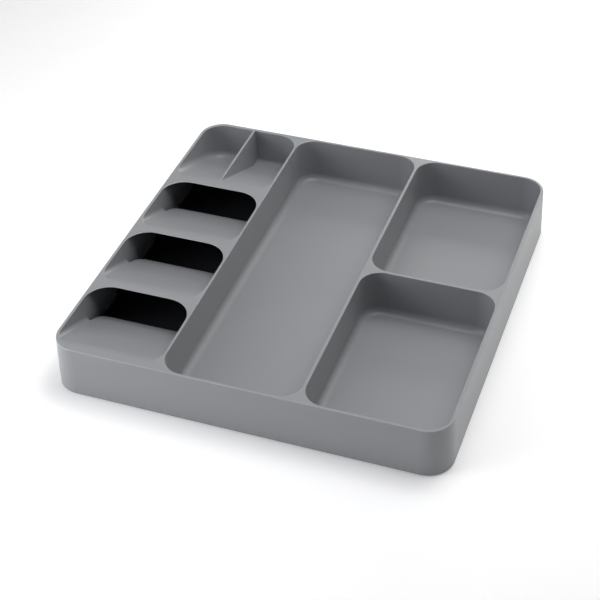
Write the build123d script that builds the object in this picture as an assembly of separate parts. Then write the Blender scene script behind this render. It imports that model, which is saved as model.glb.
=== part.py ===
"""Drawer organizer insert: a moulded tray with three tiered cutlery ramps, a split bin, a long utensil
bin and two gadget bins, a snap-in cover below the cutlery column, and eight soft feet.

Millimetres, +Z up. The origin is on the drawer's floor, at the centre of the footprint.
X runs to the right, Y runs to the back of the drawer.
"""

import os
from math import atan, cos, degrees, radians, sin, tan

from build123d import *

# ---- overall size ----
base_width = 386.0          # X, across the lower edge of the skirt
base_depth = 400.0          # Y, across the lower edge of the skirt
height = 54.0               # drawer floor to rim
standoff = 1.2              # gap that the feet leave under the skirt
skirt_flare = 1.6           # the skirt's lower edge stands this much outside the rim
rim_corner_radius = 24.3
outer_rounding = 1.0        # along the outside of the rim
skirt_edge_rounding = 0.4   # along the skirt's lower edge
mouth_rounding = 0.8        # along the mouth of each bin

# ---- walls ----
side_wall = 2.8             # at the rim, left
end_wall = 2.4              # at the rim, front and rear
deck_thickness = 2.3
floor_thickness = 2.2
bin_draft = 1.0             # degrees, bin walls
bin_depth = 49.1            # rim to bin floor
bin_floor_radius = 7.5

# ---- bins to the right of the cutlery column ----
bin_corner_radius = 21.0
long_bin_width = 133.0
long_bin_left = -80.9
gadget_bin_width = 133.3
gadget_bin_left = 55.0
gadget_divider = 2.8
gadget_divider_y = 0.4

# ---- cutlery column ----
column_left = -188.6
column_width = 105.3
column_corner_radius = 2.0  # below the decks, beside the long bin
first_lip_y = -193.9        # where the front ramp leaves the rim
first_mouth_rear_y = -101.4
tier_pitch = 92.0
tier_count = 3
tier_strip = 4.6            # deck between one mouth and the next ramp
ramp_angle = 24.2           # degrees
lip_radius = 30.0           # each ramp rolls off the deck on this radius
ramp_thickness = 2.3
ramp_side_radius = 4.5      # soft corner between a ramp and the column's walls
ramp_end_gap = 4.5          # each ramp ends this far in front of the mouth's rear edge
ramp_end_radius = 10.0      # corners of its free end
ramp_side_gap = 3.4         # clearance between its free end and the column's walls
ramp_free_length = 24.5     # the clearance starts this far in front of the mouth's rear edge
mouth_front_radius = 22.0
mouth_rear_radius = 25.0
mouth_undercut = 2.0        # the deck thins to its rounded edge over this width, at the rear of a mouth

# ---- split bin at the rear of the column ----
split_strip = 6.4
split_rear_y = 195.0
split_divider = 2.4
split_divider_x = -136.6
split_depth = 40.4
split_heel_radius = 20.0    # where its ramp meets its flat floor
split_corner_radius = 22.0
divider_corner_radius = 1.2
split_join_y = 150.0        # its side fillet and its heel fillet meet here
split_left_soft = 6.8       # soft corner round the left pocket's floor
split_right_soft = 4.5      # soft corner round the right pocket's floor

# ---- base cover ----
cover_thickness = 2.0
cover_gap = 0.4             # clearance all round
cover_inner_corner = 1.6    # radius of the two corners beside the long bin
cover_lip_height = 2.6      # upstand round the edge
cover_lip_thickness = 1.6
cover_rib_height = 1.0      # ribs under the plate
cover_rib_width = 1.6
cover_rib_margin = 14.0     # from the column's walls to the ends of the ribs
cover_rib_spread = 18.0     # the two long ribs stand this far from the column's middle
cover_rib_rows_y = (-128.0, -86.0, -42.0, 42.0, 86.0, 128.0)
hook_rows_y = (-150.0, -56.0, 36.0, 140.0)
hook_width = 12.0
hook_thickness = 1.8
hook_top = 12.7             # above the drawer floor
hook_tip = 0.7              # from the top of the hook down to its nose
hook_nose = 0.8             # how far the nose enters the wall
hook_nose_height = 2.6
hook_catch_slope = 0.3      # rise of the nose's underside
hook_nose_flat = 0.9        # blunt end of the nose
hook_chamfer = 0.4
hook_clearance = 0.2

# ---- feet ----
foot_diameter = 14.0
foot_clearance = 0.1
foot_edge_rounding = 0.7
foot_groove_radius = 4.0
foot_groove_width = 1.2
foot_groove_depth = 0.5
foot_ring_wall = 1.8
foot_ring_drop = 0.9        # the ring stands this far below the floor
foot_side_x = 168.0
foot_centre_x = -14.4
foot_end_y = 172.0
foot_middle_right_y = -40.0

# ---- modelling allowances ----
overrun = 1.0               # a cutting solid runs this far past what it cuts
overlap = 0.5               # a swept rounding reaches this far into what it rounds
smallest_web = 15.0         # slivers between bins with less area than this stay solid
tolerance = 0.01

# ---- worked out from the above ----
rim_x = base_width / 2 - skirt_flare
rim_y = base_depth / 2 - skirt_flare
skirt_angle = degrees(atan(skirt_flare / (height - standoff)))
inner_y = rim_y - end_wall
column_right = column_left + column_width
long_bin_right = long_bin_left + long_bin_width
gadget_bin_right = gadget_bin_left + gadget_bin_width
deck_underside = height - deck_thickness
floor_top = height - bin_depth
floor_underside = floor_top - floor_thickness
skirt_inner_radius = rim_corner_radius - side_wall
slope = radians(ramp_angle)
split_lip_y = first_mouth_rear_y + (tier_count - 1) * tier_pitch + split_strip


def corner_plan(left, front, right, rear, front_left, front_right, rear_left, rear_right):
    """A rectangle seen from above, with a radius for each corner."""
    plan = Pos((left + right) / 2, (front + rear) / 2) * Rectangle(right - left, rear - front)
    corners = (
        (left, front, front_left),
        (right, front, front_right),
        (left, rear, rear_left),
        (right, rear, rear_right),
    )
    for x, y, radius in corners:
        if radius > 0:
            plan = fillet(plan.vertices().sort_by_distance((x, y, 0))[0], radius)
    return plan


def even_plan(left, front, right, rear, radius):
    """A rectangle seen from above, with one radius at all four corners."""
    return corner_plan(left, front, right, rear, radius, radius, radius, radius)


def mouth_flare(plan):
    """The sliver that rounds the edge of a mouth: it runs round the plan at rim height."""
    path = Pos(0, 0, height) * plan.faces()[0].outer_wire()
    start = path @ 0
    along = path % 0
    outward = along.cross(Vector(0, 0, 1))
    if plan.faces()[0].is_inside(Vector(start.X, start.Y, 0) + outward * overlap):
        outward = -outward
    section_plane = Plane(origin=start, x_dir=outward, z_dir=along)
    down = 1 if section_plane.y_dir.Z < 0 else -1
    r = mouth_rounding
    above = -overlap * down
    outline = Polyline((0, r * down), (-overlap, r * down), (-overlap, above), (r, above), (r, 0))
    arc = ThreePointArc((r, 0), (r - r * sin(radians(45)), (r - r * cos(radians(45))) * down), (0, r * down))
    section = section_plane * make_face(Curve() + [outline, arc])
    return sweep(section, path=path)


def bin_hollow(plan):
    """The hollow of a deep bin: drafted walls, a rounded floor, and a rounded mouth."""
    hollow = extrude(Pos(0, 0, height) * plan, amount=-bin_depth, taper=bin_draft)
    hollow = fillet(hollow.edges().group_by(Axis.Z)[0], bin_floor_radius)
    return hollow + mouth_flare(plan) + extrude(Pos(0, 0, height) * plan, amount=overrun)


def ramp_line(lip_y, end_y, shift, flat_depth=None):
    """The side view of a ramp as (y, z) curves, moved down by shift square to its surface.

    It rolls off the deck, runs straight down, and ends at end_y. With flat_depth it levels out there.
    """
    roll = lip_radius - shift
    centre_z = height - lip_radius
    top = (lip_y, height - shift)
    middle = (lip_y + roll * sin(slope / 2), centre_z + roll * cos(slope / 2))
    rolled = (lip_y + roll * sin(slope), centre_z + roll * cos(slope))
    curves = [ThreePointArc(top, middle, rolled)]
    if flat_depth is None:
        end = (end_y, rolled[1] - (end_y - rolled[0]) * tan(slope))
        curves.append(Line(rolled, end))
        return curves, end
    flat_z = height - flat_depth - shift
    heel = split_heel_radius + shift
    heel_y = rolled[0] + (rolled[1] - flat_z) / tan(slope)
    reach = heel * tan(slope / 2)
    heel_start = (heel_y - reach * cos(slope), flat_z + reach * sin(slope))
    heel_end = (heel_y + reach, flat_z)
    heel_middle = (heel_end[0] - heel * sin(slope / 2), flat_z + heel * (1 - cos(slope / 2)))
    end = (end_y, flat_z)
    curves.append(Line(rolled, heel_start))
    curves.append(ThreePointArc(heel_start, heel_middle, heel_end))
    curves.append(Line(heel_end, end))
    return curves, end


def across_column(curves, left, right):
    """A closed (y, z) outline, extruded along X from left to right."""
    side_plane = Plane(origin=(left, 0, 0), x_dir=(0, 1, 0), z_dir=(1, 0, 0))
    return extrude(side_plane * make_face(Curve() + curves), amount=right - left)


def space_above_ramp(lip_y, end_y, left, right, flat_depth=None):
    """Everything above a ramp, between its lip and end_y."""
    curves, end = ramp_line(lip_y, end_y, 0, flat_depth)
    top_z = height + 2 * overrun
    curves.append(Polyline(end, (end_y, top_z), (lip_y, top_z), (lip_y, height)))
    return across_column(curves, left, right)


def tier_limits(index):
    """The lip and the rear edge of a cutlery mouth, counted from the front."""
    rear = first_mouth_rear_y + index * tier_pitch
    lip = first_lip_y if index == 0 else rear - tier_pitch + tier_strip
    return lip, rear


def tier_plan(index):
    """The mouth of a cutlery tier."""
    lip, rear = tier_limits(index)
    front_radius = mouth_front_radius
    rear_radius = mouth_rear_radius
    return corner_plan(
        column_left, lip, column_right, rear, front_radius, front_radius, rear_radius, rear_radius
    )


def side_fill(lip_y, end_y, wall_x, inward, r):
    """The soft corner of radius r along a wall: what is left between wall and ramp below a rolled edge."""
    curves, _ = ramp_line(lip_y, end_y, 0)
    path = Wire([edge for curve in curves for edge in curve.edges()])
    side_plane = Plane(origin=(wall_x, 0, 0), x_dir=(0, 1, 0), z_dir=(1, 0, 0))
    path = side_plane.from_local_coords(path)
    section_plane = Plane(origin=path @ 0, x_dir=(inward, 0, 0), z_dir=path % 0)
    up = 1 if section_plane.y_dir.Z > 0 else -1
    below = -overlap * up
    outline = Polyline((r, 0), (r, below), (-overlap, below), (-overlap, r * up), (0, r * up))
    arc = ThreePointArc((0, r * up), (r - r * sin(radians(45)), (r - r * cos(radians(45))) * up), (r, 0))
    section = section_plane * make_face(Curve() + [outline, arc])
    return sweep(section, path=path)


def tier_hollow(index):
    """What is cut from above for one cutlery tier."""
    lip, rear = tier_limits(index)
    plan = tier_plan(index)
    below_deck = corner_plan(column_left, rear - mouth_rear_radius, column_right, rear, 0, 0, 0, 0)
    shaft = extrude(plan, amount=height + overrun) + mouth_flare(plan)
    shaft += extrude(below_deck, amount=deck_underside)
    above = space_above_ramp(lip, rear + overrun, column_left - overrun, column_right + overrun)
    above -= side_fill(lip, rear - ramp_free_length, column_left, 1, ramp_side_radius)
    above -= side_fill(lip, rear - ramp_free_length, column_right, -1, ramp_side_radius)
    return shaft & above


def column_void():
    """The space below the ramps and decks, open at the bottom."""
    outline = []
    front = -inner_y
    start = (front, deck_underside)
    for index in range(tier_count):
        lip, rear = tier_limits(index)
        curves, end = ramp_line(lip, rear - ramp_end_gap, ramp_thickness)
        outline.append(Line(start, (lip, deck_underside)))
        outline += curves
        start = (rear - ramp_end_gap, deck_underside)
        outline.append(Line(end, start))
    curves, end = ramp_line(split_lip_y, split_rear_y, ramp_thickness, split_depth)
    outline.append(Line(start, (split_lip_y, deck_underside)))
    outline += curves
    outline.append(Polyline(end, (split_rear_y, -overrun), (front, -overrun), (front, deck_underside)))
    void = across_column(outline, column_left, column_right)
    outer = skirt_inner_radius
    inner = column_corner_radius
    plan = corner_plan(column_left, front, column_right, split_rear_y, outer, inner, outer, inner)
    return void & extrude(plan, amount=height)


def ramp_end_gaps(index):
    """Gaps between the rounded free end of a ramp and the column's walls."""
    mouth_rear = tier_limits(index)[1]
    front = mouth_rear - ramp_free_length
    rear = mouth_rear - ramp_end_gap
    strip = corner_plan(column_left, front, column_right, rear, 0, 0, 0, 0)
    left = column_left + ramp_side_gap
    right = column_right - ramp_side_gap
    free_end = corner_plan(left, front, right, rear, 0, 0, ramp_end_radius, ramp_end_radius)
    return extrude(strip - free_end, amount=deck_underside)


def mouth_undercuts(index):
    """What is cut from below to thin the deck towards the rear edge of a mouth."""
    plan = tier_plan(index)
    rear = tier_limits(index)[1]
    edge_z = height - mouth_rounding
    low_z = deck_underside - mouth_undercut
    spread = mouth_undercut * (edge_z - low_z) / (edge_z - deck_underside)
    skirt = loft([Pos(0, 0, edge_z) * plan, Pos(0, 0, low_z) * offset(plan, spread)])
    front = rear - mouth_rear_radius
    reach = corner_plan(column_left, front, column_right, rear + spread, 0, 0, 0, 0)
    return skirt & Pos(0, 0, low_z) * extrude(reach, amount=edge_z - low_z)


def heel_fill(left, right, outer_side, radius):
    """The soft corner round the deep end of a split pocket, everywhere but against the divider."""
    round_left = split_corner_radius if outer_side < 0 else 0
    round_right = split_corner_radius - round_left
    plan = corner_plan(left, split_join_y, right, split_rear_y, 0, 0, round_left, round_right)
    end_y = split_rear_y + overrun
    above = space_above_ramp(split_lip_y, end_y, left - overrun, right + overrun, split_depth)
    space = extrude(plan, amount=height + overrun) & above
    divider_x = right if outer_side < 0 else left

    def is_soft(edge):
        """True for the edges between the floor and the outer, corner and rear walls."""
        start, middle, end = edge @ 0, edge @ 0.5, edge @ 1
        upright = abs(start.X - end.X) + abs(start.Y - end.Y) < tolerance
        across_floor = abs(start.Y - end.Y) < tolerance and middle.Y < split_rear_y - tolerance
        on_divider = abs(middle.X - divider_x) < tolerance
        return not (upright or across_floor or on_divider or middle.Z > height)

    return space - fillet(space.edges().filter_by(is_soft), radius)


def split_hollow(left, right, radii, outer_side):
    """One pocket of the split bin. outer_side is -1 for the left pocket and 1 for the right one."""
    plan = corner_plan(left, split_lip_y, right, split_rear_y, *radii)
    shaft = extrude(plan, amount=height + overrun) + mouth_flare(plan)
    end_y = split_rear_y + overrun
    above = space_above_ramp(split_lip_y, end_y, left - overrun, right + overrun, split_depth)
    wall_x, soft = (left, split_left_soft) if outer_side < 0 else (right, split_right_soft)
    above -= side_fill(split_lip_y, split_join_y, wall_x, -outer_side, soft)
    above -= heel_fill(left, right, outer_side, soft)
    return shaft & above


def bin_plans(grow=0.0):
    """The long bin and the two gadget bins, from above, grown by a wall where needed."""
    divider_front = gadget_divider_y - gadget_divider / 2
    divider_rear = gadget_divider_y + gadget_divider / 2
    limits = (
        (long_bin_left, -inner_y, long_bin_right, inner_y),
        (gadget_bin_left, -inner_y, gadget_bin_right, divider_front),
        (gadget_bin_left, divider_rear, gadget_bin_right, inner_y),
    )
    return [
        even_plan(left - grow, front - grow, right + grow, rear + grow, bin_corner_radius + grow)
        for left, front, right, rear in limits
    ]


def web_pockets():
    """Hollows moulded from below into the solid corners between neighbouring bins."""
    inside = even_plan(-rim_x + side_wall, -inner_y, rim_x - side_wall, inner_y, skirt_inner_radius)
    column = Pos((column_left + column_right) / 2, 0) * Rectangle(column_width + 2 * end_wall, base_depth)
    webs = inside - column
    for plan in bin_plans(grow=end_wall):
        webs -= plan
    faces = [face for face in webs.faces() if face.area > smallest_web]
    return extrude(Sketch() + faces, amount=deck_underside)


def underside_recess():
    """The space inside the skirt that lifts every floor clear of the skirt's lower edge."""
    inside = even_plan(-rim_x + side_wall, -inner_y, rim_x - side_wall, inner_y, skirt_inner_radius)
    return extrude(inside, amount=floor_underside)


def foot_places():
    """Names and centres of the feet: three down each side and two under the long bin."""
    return {
        "foot_front_left": (-foot_side_x, -foot_end_y),
        "foot_middle_left": (-foot_side_x, 0),
        "foot_rear_left": (-foot_side_x, foot_end_y),
        "foot_front_centre": (foot_centre_x, -foot_end_y),
        "foot_rear_centre": (foot_centre_x, foot_end_y),
        "foot_front_right": (foot_side_x, -foot_end_y),
        "foot_middle_right": (foot_side_x, foot_middle_right_y),
        "foot_rear_right": (foot_side_x, foot_end_y),
    }


def foot_rings(left, right):
    """The moulded rings that locate the feet whose centres lie between left and right."""
    profile = Circle(foot_diameter / 2 + foot_clearance + foot_ring_wall)
    profile -= Circle(foot_diameter / 2 + foot_clearance)
    ring = Pos(0, 0, floor_underside - foot_ring_drop) * extrude(profile, amount=foot_ring_drop)
    return [Pos(x, y, 0) * ring for x, y in foot_places().values() if left < x < right]


def hook_sides():
    """The two walls that the cover snaps to, and the direction from each wall into the column."""
    return ((column_left, 1), (column_right, -1))


def hook_pockets():
    """Blind pockets in the column's walls for the noses of the cover's snap hooks."""
    depth = hook_nose + hook_clearance
    size_y = hook_width + 2 * hook_clearance
    size_z = hook_nose_height + 2 * hook_clearance
    centre_z = hook_top - hook_tip - hook_nose_height / 2
    pocket = Box(2 * depth, size_y, size_z)
    return [Pos(wall_x, y, centre_z) * pocket for wall_x, _ in hook_sides() for y in hook_rows_y]


def make_tray_body():
    """The main moulding."""
    footprint = even_plan(
        -base_width / 2, -base_depth / 2, base_width / 2, base_depth / 2, rim_corner_radius + skirt_flare
    )
    body = extrude(Pos(0, 0, standoff) * footprint, amount=height - standoff, taper=skirt_angle)
    body = fillet(body.edges().group_by(Axis.Z)[-1], outer_rounding)
    body = fillet(body.edges().group_by(Axis.Z)[0], skirt_edge_rounding)
    body -= underside_recess()
    for plan in bin_plans():
        body -= bin_hollow(plan)
    body -= column_void()
    for index in range(tier_count):
        body -= tier_hollow(index)
        body -= ramp_end_gaps(index)
        body -= mouth_undercuts(index)
    soft = split_corner_radius
    sharp = divider_corner_radius
    divider_left = split_divider_x - split_divider / 2
    divider_right = split_divider_x + split_divider / 2
    body -= split_hollow(column_left, divider_left, (mouth_front_radius, sharp, soft, sharp), -1)
    body -= split_hollow(divider_right, column_right, (sharp, mouth_front_radius, sharp, soft), 1)
    body -= web_pockets()
    body -= hook_pockets()
    body += foot_rings(column_right, rim_x)
    return body


def snap_hook(wall_x, inward, y):
    """One hook of the cover: a springy upright with a nose that points at the wall."""
    root = wall_x + inward * cover_gap
    back = root + inward * hook_thickness
    nose = wall_x - inward * hook_nose
    nose_top = hook_top - hook_tip
    nose_low = nose_top - hook_nose_height
    outline = Polyline(
        (root, floor_underside + cover_thickness / 2),
        (root, nose_low),
        (nose, nose_low + hook_catch_slope),
        (nose, nose_low + hook_catch_slope + hook_nose_flat),
        (root, nose_top),
        (root + inward * hook_chamfer, hook_top),
        (back, hook_top),
        (back, floor_underside + cover_thickness / 2),
        close=True,
    )
    side_plane = Plane(origin=(0, y + hook_width / 2, 0), x_dir=(1, 0, 0), z_dir=(0, -1, 0))
    return extrude(side_plane * make_face(outline), amount=hook_width)


def cover_plan(inset):
    """The cutlery column's opening seen from below, drawn in by inset."""
    left, front = column_left + inset, -inner_y + inset
    right, rear = column_right - inset, split_rear_y - inset
    outer = skirt_inner_radius - inset
    return corner_plan(left, front, right, rear, outer, cover_inner_corner, outer, cover_inner_corner)


def make_base_cover():
    """The plate that closes the cutlery column from below."""
    outline = cover_plan(cover_gap)
    cover = Pos(0, 0, floor_underside) * extrude(outline, amount=cover_thickness)
    lip = outline - cover_plan(cover_gap + cover_lip_thickness)
    cover += Pos(0, 0, floor_underside) * extrude(lip, amount=cover_thickness + cover_lip_height)
    cover += [snap_hook(wall_x, inward, y) for wall_x, inward in hook_sides() for y in hook_rows_y]
    cover += foot_rings(-rim_x, column_right)
    rib_z = floor_underside - cover_rib_height / 2
    across = Box(column_width - 2 * cover_rib_margin, cover_rib_width, cover_rib_height)
    along = Box(cover_rib_width, 2 * inner_y - 2 * cover_rib_margin, cover_rib_height)
    column_x = column_left + column_width / 2
    cover += [Pos(column_x, y, rib_z) * across for y in cover_rib_rows_y]
    cover += [Pos(column_x + x, 0, rib_z) * along for x in (-cover_rib_spread, cover_rib_spread)]
    return cover


def make_foot(x, y):
    """One soft foot: a disc with a rounded tread and a shallow groove that grips the drawer."""
    foot = Cylinder(foot_diameter / 2, floor_underside, align=(Align.CENTER, Align.CENTER, Align.MIN))
    foot = fillet(foot.edges().group_by(Axis.Z)[0], foot_edge_rounding)
    groove = Circle(foot_groove_radius + foot_groove_width / 2)
    groove -= Circle(foot_groove_radius - foot_groove_width / 2)
    foot -= extrude(groove, amount=foot_groove_depth)
    return Pos(x, y, 0) * foot


pieces = {"tray_body": make_tray_body(), "base_cover": make_base_cover()}
for name, (x, y) in foot_places().items():
    pieces[name] = make_foot(x, y)

os.makedirs("parts", exist_ok=True)
for name, piece in pieces.items():
    export_step(piece, f"parts/{name}.step")
    print(name, len(piece.solids()), round(piece.volume))
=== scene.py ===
"""Looks of the drawer organizer insert: a polypropylene tray, a snap-in cover and eight soft feet."""
from math import cos, radians, sin

import bpy
from mathutils import Matrix, Vector


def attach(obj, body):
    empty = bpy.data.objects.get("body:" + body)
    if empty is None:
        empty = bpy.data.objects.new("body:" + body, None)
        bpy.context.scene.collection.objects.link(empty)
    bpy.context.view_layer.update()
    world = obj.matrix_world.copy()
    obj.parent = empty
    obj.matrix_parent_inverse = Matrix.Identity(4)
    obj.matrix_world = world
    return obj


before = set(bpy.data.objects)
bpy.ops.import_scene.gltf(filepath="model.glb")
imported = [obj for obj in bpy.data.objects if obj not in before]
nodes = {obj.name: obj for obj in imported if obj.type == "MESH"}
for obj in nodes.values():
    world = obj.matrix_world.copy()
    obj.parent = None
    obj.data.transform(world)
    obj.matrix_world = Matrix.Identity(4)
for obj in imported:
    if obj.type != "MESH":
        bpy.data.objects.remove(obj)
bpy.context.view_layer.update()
scene = bpy.context.scene


# ---- Tray body -------------------------------------------------------------------------------------
# One injection moulding in mid grey polypropylene. The mould is spark-eroded to a fine satin texture,
# so the faces scatter light evenly; the rounded rims are smoother and carry a painted highlight.

mm = 0.001
plastic_ior = 1.49


def linear(hex_colour):
    """An sRGB hex colour as a linear RGBA tuple."""
    parts = [int(hex_colour[i:i + 2], 16) / 255 for i in (1, 3, 5)]
    return tuple(c / 12.92 if c <= 0.04045 else ((c + 0.055) / 1.055) ** 2.4 for c in parts) + (1.0,)


def add_node(tree, kind, settings=None, links=None):
    """Adds a node, sets its properties and unlinked inputs, and links the rest."""
    node = tree.nodes.new(kind)
    for name, value in (settings or {}).items():
        if isinstance(name, str) and hasattr(node, name):
            setattr(node, name, value)
        else:
            node.inputs[name].default_value = value
    for name, source in (links or {}).items():
        tree.links.new(source, node.inputs[name])
    return node


def moulded_plastic(name, pale, dark, roughness, roughness_drift, grain_mm, grain_height_mm):
    """Moulded plastic: the colour drifts with the melt's flow, and a spark-eroded grain breaks the gloss.

    Returns the material, its tree, and the place, colour and roughness outputs that a caller may build on.
    """
    flow_mm = 90
    speckle_mm = 1.6
    speckle_share = 0.25
    material = bpy.data.materials.new(name)
    material.use_nodes = True
    tree = material.node_tree
    shader = tree.nodes["Principled BSDF"]
    shader.inputs["IOR"].default_value = plastic_ior
    place = add_node(tree, "ShaderNodeTexCoord").outputs["Object"]
    flow_look = {"Scale": 1000 / flow_mm, "Detail": 3.0}
    flow = add_node(tree, "ShaderNodeTexNoise", flow_look, {"Vector": place})
    speckle_look = {"Scale": 1000 / speckle_mm, "Detail": 1.0}
    speckle = add_node(tree, "ShaderNodeTexNoise", speckle_look, {"Vector": place})
    blend = add_node(
        tree,
        "ShaderNodeMix",
        {"data_type": "FLOAT", 0: speckle_share},
        {2: flow.outputs["Fac"], 3: speckle.outputs["Fac"]},
    )
    colour = add_node(
        tree, "ShaderNodeMix", {"data_type": "RGBA", 6: linear(dark), 7: linear(pale)}, {0: blend.outputs[0]}
    )
    grain_look = {"Scale": 1000 / grain_mm, "Detail": 2.0}
    grain = add_node(tree, "ShaderNodeTexNoise", grain_look, {"Vector": place})
    gloss = add_node(
        tree,
        "ShaderNodeMapRange",
        {"To Min": roughness - roughness_drift, "To Max": roughness + roughness_drift},
        {"Value": flow.outputs["Fac"]},
    )
    bump = add_node(
        tree,
        "ShaderNodeBump",
        {"Strength": 1.0, "Distance": grain_height_mm * mm},
        {"Height": grain.outputs["Fac"]},
    )
    tree.links.new(colour.outputs[2], shader.inputs["Base Color"])
    tree.links.new(gloss.outputs[0], shader.inputs["Roughness"])
    tree.links.new(bump.outputs["Normal"], shader.inputs["Normal"])
    return material, tree, place, colour.outputs[2], gloss.outputs[0]


def finish_node(name, material):
    """Gives a carried-over part its finish."""
    mesh = nodes[name].data
    mesh.materials.clear()
    mesh.materials.append(material)


# The real grain is about 0.15 mm wide, which is too fine to show, so it is drawn 0.8 mm wide.
grey_polypropylene, tree, place, body_colour, body_gloss = moulded_plastic(
    "grey_polypropylene_satin", "#8F9194", "#8A8C8F", 0.36, 0.03, 0.8, 0.012
)
# The rounded edges of the mouths and of the rim are made smoother than the flat decks and painted paler, a
# painted highlight that draws a thin bright line round each bin. Heights are in metres above the drawer's
# floor, and a tilt is the upward share of the surface's normal: 1 on a flat deck, 0 on an upright wall.
rim_start = 52.9 * mm
rim_full = 53.3 * mm
edge_tilt = 0.97
edge_tilt_full = 0.91
# Painted highlight: this paler grey stands in for the light that the rounded rims catch.
painted_highlight_grey = linear("#A2A4A7")
rubbed_roughness = 0.24
height_on_tray = add_node(tree, "ShaderNodeSeparateXYZ", links={"Vector": place}).outputs["Z"]
facing = add_node(tree, "ShaderNodeTexCoord").outputs["Normal"]
tilt = add_node(tree, "ShaderNodeSeparateXYZ", links={"Vector": facing}).outputs["Z"]
near_rim = add_node(
    tree, "ShaderNodeMapRange", {"From Min": rim_start, "From Max": rim_full}, {"Value": height_on_tray}
)
rim_highlight_mask = add_node(
    tree,
    "ShaderNodeMapRange",
    {"From Min": edge_tilt, "From Max": edge_tilt_full},
    {"Value": tilt, "To Max": near_rim.outputs[0]},
)
# Mixes the painted highlight grey into the body colour on the rounded rims.
rim_highlight_colour = add_node(
    tree,
    "ShaderNodeMix",
    {"data_type": "RGBA", 7: painted_highlight_grey},
    {0: rim_highlight_mask.outputs[0], 6: body_colour},
)
rim_gloss = add_node(
    tree,
    "ShaderNodeMix",
    {"data_type": "FLOAT", 3: rubbed_roughness},
    {0: rim_highlight_mask.outputs[0], 2: body_gloss},
)
body_shader = tree.nodes["Principled BSDF"]
tree.links.new(rim_highlight_colour.outputs[2], body_shader.inputs["Base Color"])
tree.links.new(rim_gloss.outputs[0], body_shader.inputs["Roughness"])
finish_node("tray_body", grey_polypropylene)

# ---- Base cover ------------------------------------------------------------------------------------
# A separate plate that closes the cutlery column from below and snaps into it. It has a coarser, duller
# texture than the tray, and its near-black colour is painted shade for the hollows behind the ramps.
# Painted shade: this near-black colour stands in for the shade deep under the decks.
painted_shade_black = moulded_plastic(
    "painted_shade_black_matte", "#25262C", "#202126", 0.6, 0.05, 1.0, 0.02
)[0]
finish_node("base_cover", painted_shade_black)

# ---- Feet ------------------------------------------------------------------------------------------
# Discs of soft thermoplastic elastomer, pressed into moulded rings under the tray and the cover. They are
# dull and slightly dusty, with a finer grain than the hard plastic.
soft_elastomer = moulded_plastic("soft_elastomer_matte", "#3A3B3D", "#333436", 0.72, 0.06, 0.6, 0.015)[0]
for name in nodes:
    if name.startswith("foot_"):
        finish_node(name, soft_elastomer)

# ---- Ejector pin marks -----------------------------------------------------------------------------
# Faint raised rings that the mould's ejector pins leave on the undersides of the tray and of the cover.
# Each ring is the same plastic as the moulding that it is on. A real one stands about 0.15 mm proud, which
# is too fine to show, so it is drawn 0.35 mm high.
floor_underside = 2.7 * mm
pin_radius = 4.0 * mm
flash_radius = 0.35 * mm
pin_ring_steps = 32
flash_steps = 6

pin_marks = bpy.data.node_groups.new("pin_marks", "GeometryNodeTree")
sockets = {}
inputs = {"Places": "Geometry", "Pin Radius": "Float", "Flash Radius": "Float", "Plastic": "Material"}
for label, kind in inputs.items():
    sockets[label] = pin_marks.interface.new_socket(label, in_out="INPUT", socket_type="NodeSocket" + kind)
pin_marks.interface.new_socket("Marks", in_out="OUTPUT", socket_type="NodeSocketGeometry")
given = add_node(pin_marks, "NodeGroupInput").outputs
ring_line = add_node(
    pin_marks,
    "GeometryNodeCurvePrimitiveCircle",
    {"Resolution": pin_ring_steps},
    {"Radius": given["Pin Radius"]},
)
flash_line = add_node(
    pin_marks,
    "GeometryNodeCurvePrimitiveCircle",
    {"Resolution": flash_steps},
    {"Radius": given["Flash Radius"]},
)
ring = add_node(
    pin_marks,
    "GeometryNodeCurveToMesh",
    links={"Curve": ring_line.outputs["Curve"], "Profile Curve": flash_line.outputs["Curve"]},
)
placed = add_node(
    pin_marks,
    "GeometryNodeInstanceOnPoints",
    links={"Points": given["Places"], "Instance": ring.outputs["Mesh"]},
)
real = add_node(pin_marks, "GeometryNodeRealizeInstances", links={"Geometry": placed.outputs["Instances"]})
smooth = add_node(pin_marks, "GeometryNodeSetShadeSmooth", links={"Geometry": real.outputs["Geometry"]})
painted = add_node(
    pin_marks,
    "GeometryNodeSetMaterial",
    links={"Geometry": smooth.outputs["Geometry"], "Material": given["Plastic"]},
)
add_node(pin_marks, "NodeGroupOutput", links={"Marks": painted.outputs["Geometry"]})


def pin_mark_piece(name, columns, rows, material):
    """A ring at every crossing of the columns (x) and rows (y), as one plain mesh."""
    places = bpy.data.meshes.new(name + "_places")
    places.from_pydata([(x, y, floor_underside) for x in columns for y in rows], [], [])
    piece = bpy.data.objects.new(name, places)
    scene.collection.objects.link(piece)
    rings = piece.modifiers.new("pin_marks", "NODES")
    rings.node_group = pin_marks
    rings[sockets["Pin Radius"].identifier] = pin_radius
    rings[sockets["Flash Radius"].identifier] = flash_radius
    rings[sockets["Plastic"].identifier] = material
    evaluated = piece.evaluated_get(bpy.context.evaluated_depsgraph_get())
    mesh = bpy.data.meshes.new_from_object(evaluated)
    piece.modifiers.clear()
    piece.data = mesh
    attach(piece, "root")


# The pins stand in rows from front to back (y). The gadget bins and the cover have none in their middle.
all_rows = [row * mm for row in (-135.0, -67.5, 0.0, 67.5, 135.0)]
gadget_rows = [row for row in all_rows if row != 0]
cover_rows = [row * mm for row in (-107.0, -64.0, 64.0, 107.0)]
long_bin_columns = [column * mm for column in (-53.0, 24.0)]
gadget_columns = [column * mm for column in (85.0, 152.0)]
cover_columns = [-136.0 * mm]
pin_mark_piece("long_bin_pin_marks", long_bin_columns, all_rows, grey_polypropylene)
pin_mark_piece("gadget_bin_pin_marks", gadget_columns, gadget_rows, grey_polypropylene)
pin_mark_piece("cover_pin_marks", cover_columns, cover_rows, painted_shade_black)

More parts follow.
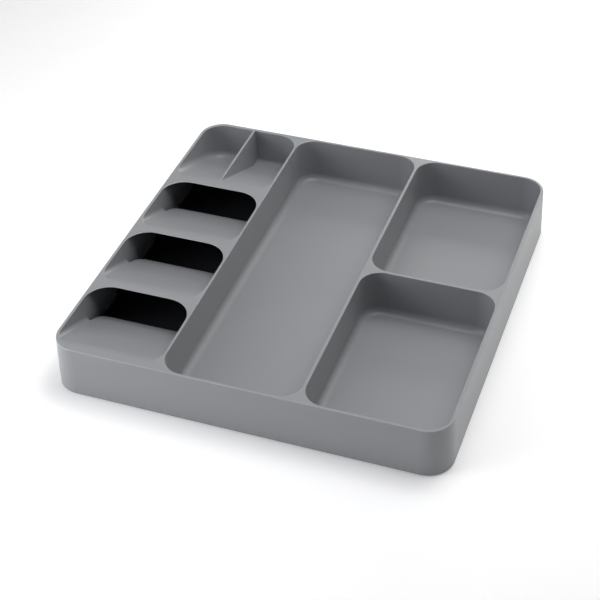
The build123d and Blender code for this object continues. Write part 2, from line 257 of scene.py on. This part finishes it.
# ---- Studio ----------------------------------------------------------------------------------------
# A lit white acrylic table, a low pale horizon, and eight softboxes round the object. The strongest one is
# high at the rear right, so the bins' rear walls, which face the front, stay the darkest.
scene.view_settings.view_transform = "Standard"
scene.view_settings.look = "None"

floor_mesh = bpy.data.meshes.new("studio_floor")
half = 12.0
floor_corners = [(-half, -half, 0), (half, -half, 0), (half, half, 0), (-half, half, 0)]
floor_mesh.from_pydata(floor_corners, [], [(0, 1, 2, 3)])
floor = bpy.data.objects.new("studio_floor", floor_mesh)
scene.collection.objects.link(floor)
floor_glow = 0.15
floor_paint = bpy.data.materials.new("lit_white_acrylic_table")
floor_paint.use_nodes = True
floor_shader = floor_paint.node_tree.nodes["Principled BSDF"]
floor_shader.inputs["Base Color"].default_value = linear("#F8F8F8")
floor_shader.inputs["Roughness"].default_value = 0.9
floor_shader.inputs["Emission Color"].default_value = linear("#FFFFFF")
floor_shader.inputs["Emission Strength"].default_value = floor_glow
floor_mesh.materials.append(floor_paint)

world = bpy.data.worlds.new("studio_room")
scene.world = world
world.use_nodes = True
horizon_light = 0.5
zenith_light = 0.0
horizon_height = 0.12
sky = world.node_tree
direction = add_node(sky, "ShaderNodeTexCoord").outputs["Generated"]
lift = add_node(sky, "ShaderNodeSeparateXYZ", links={"Vector": direction}).outputs["Z"]
fade_range = {"From Max": horizon_height, "To Min": horizon_light, "To Max": zenith_light}
fade = add_node(
    sky, "ShaderNodeMapRange", {"interpolation_type": "SMOOTHSTEP", **fade_range}, {"Value": lift}
)
sky.links.new(fade.outputs[0], sky.nodes["Background"].inputs["Strength"])
sky.nodes["Background"].inputs["Color"].default_value = linear("#FFFFFF")


def softbox(name, azimuth, elevation, distance, size, power, colour="#FFFFFF"):
    """A square area light that faces the object. Azimuth 0 is in front, and 90 is to the right.

    Angles are in degrees, the distance and the size in metres, and the power in watts.
    """
    light = bpy.data.lights.new(name, "AREA")
    light.shape = "SQUARE"
    light.size = size
    light.energy = power
    light.color = linear(colour)[:3]
    lamp = bpy.data.objects.new(name, light)
    scene.collection.objects.link(lamp)
    turn = radians(azimuth)
    lift = radians(elevation)
    away = Vector((sin(turn) * cos(lift), -cos(turn) * cos(lift), sin(lift)))
    lamp.location = away * distance
    lamp.rotation_euler = away.to_track_quat("Z", "Y").to_euler()


softbox("key_softbox", 120, 70, 1.2, 0.8, 7.6, "#FDFDFF")
softbox("overhead_softbox", 0, 90, 1.2, 0.8, 3.5)
softbox("left_front_softbox", -50, 18, 1.1, 0.6, 5.5, "#FDFEFF")
softbox("left_high_softbox", -45, 45, 1.1, 0.6, 1.7, "#F6F6FF")
softbox("left_rear_softbox", -135, 35, 2.0, 1.0, 2.9, "#FEFFF8")
softbox("right_rear_softbox", 135, 25, 1.1, 0.6, 1.6, "#FFFFF4")
softbox("rear_low_softbox", 180, 20, 1.1, 0.6, 3.2, "#FFFDFA")
softbox("rear_high_softbox", 180, 62, 2.0, 1.0, 2.7, "#FFFEFF")

# The camera looks down over the front right corner, through a long lens, so the sides converge only a little.
# Its place and aim are in metres, and the lens and the sensor are in millimetres.
azimuth = radians(20.71)
elevation = radians(39.78)
roll = radians(-1.80)
distance = 1.4702
aim_height = 0.0276
slide_right = -0.0133
slide_up = -0.0214
back = Vector((sin(azimuth) * cos(elevation), -cos(azimuth) * cos(elevation), sin(elevation)))
level = Vector((0, 0, 1)).cross(back).normalized()
upright = back.cross(level)
right = level * cos(roll) + upright * sin(roll)
up = upright * cos(roll) - level * sin(roll)
lens = bpy.data.cameras.new("camera")
lens.sensor_width = 36
lens.lens = 88.56
camera = bpy.data.objects.new("camera", lens)
scene.collection.objects.link(camera)
place = Vector((0, 0, aim_height)) + back * distance + right * slide_right + up * slide_up
turn = Matrix((right, up, back)).transposed().to_4x4()
camera.matrix_world = Matrix.Translation(place) @ turn
scene.camera = camera
